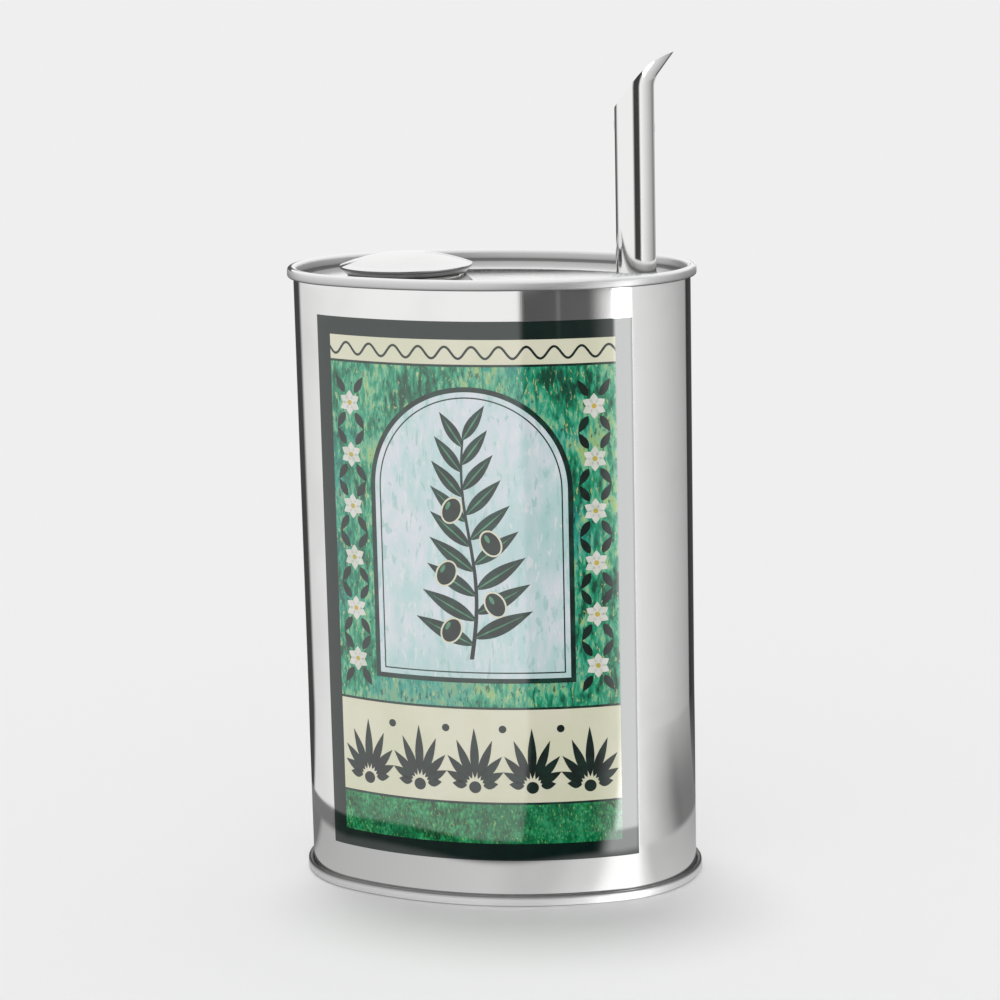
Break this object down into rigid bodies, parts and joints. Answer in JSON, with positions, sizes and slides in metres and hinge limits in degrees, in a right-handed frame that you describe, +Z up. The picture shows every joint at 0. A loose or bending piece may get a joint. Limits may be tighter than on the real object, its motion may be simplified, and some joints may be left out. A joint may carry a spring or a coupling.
{
  "type": "olive oil tin with spout",
  "caption": "Oval tinplate oil tin with double-seamed ends, a push-in domed filler cap, a tall tube spout cut into a pouring lip, and a printed front label.",
  "frame": {"origin": "middle of the foot, on the surface the tin stands on", "axes": "+Z up, +X along the can's width towards the spout, -Y towards the label"},
  "size_m": [0.108, 0.07, 0.2187],
  "materials": {
    "tinplate": "mirror-bright tinned steel",
    "moulded_plug": "satin moulded polyethylene",
    "solder": "smooth tin solder, slightly dulled",
    "printed_label": "glossy print in greens and cream with a dark green border"
  },
  "bodies": {
    "tin": {"body_wall": "tinplate", "top_end": "tinplate", "bottom_end": "tinplate", "front_label": "printed_label", "filler_ring": "tinplate", "spout_tube": "tinplate", "spout_solder": "solder"},
    "cap": {"cap_cover": "tinplate", "cap_plug": "moulded_plug"}
  },
  "joints": [
    {"name": "cap_lift", "type": "slide", "parent": "tin", "child": "cap", "axis": [0, 0, 1], "range_m": [0, 0.05]}
  ]
}
